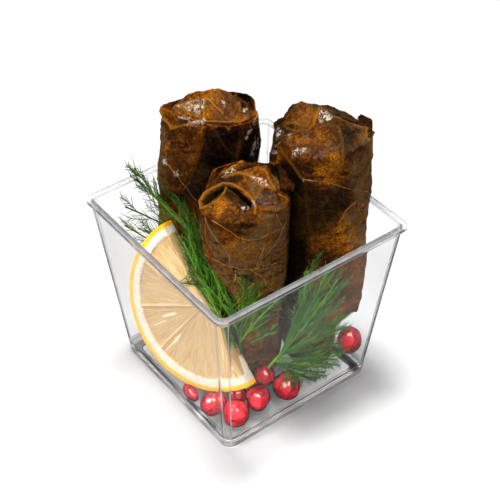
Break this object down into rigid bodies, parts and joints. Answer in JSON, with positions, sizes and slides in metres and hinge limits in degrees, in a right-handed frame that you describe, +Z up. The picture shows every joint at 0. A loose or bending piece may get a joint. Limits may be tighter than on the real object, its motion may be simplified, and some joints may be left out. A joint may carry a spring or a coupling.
{
  "type": "dolma in a cup",
  "caption": "Stuffed vine leaf rolls standing in a clear tapered square cup with a half slice of lemon, dill sprigs and pomegranate seeds.",
  "frame": {"origin": "centre of the cup's underside, on the surface it stands on", "axes": "+Z up; +X and +Y are square to the cup's walls; the corner between +X and -Y faces the viewer of the picture"},
  "size_m": [0.066, 0.066, 0.0869],
  "materials": {
    "cup": "clear polished plastic",
    "dolma": "oily cooked vine leaf",
    "lemon": "moist",
    "dill": "soft leaf",
    "seed": "wet and glossy"
  },
  "bodies": {
    "root": {"cup": "cup", "dolma_left": "dolma", "dolma_right": "dolma", "dolma_front": "dolma", "lemon_slice": "lemon", "dill_left": "dill", "dill_front": "dill", "dill_right": "dill", "pomegranate_seed_1": "seed", "pomegranate_seed_2": "seed", "pomegranate_seed_3": "seed", "pomegranate_seed_4": "seed", "pomegranate_seed_5": "seed", "pomegranate_seed_6": "seed", "pomegranate_seed_7": "seed", "pomegranate_seed_8": "seed"}
  },
  "joints": []
}
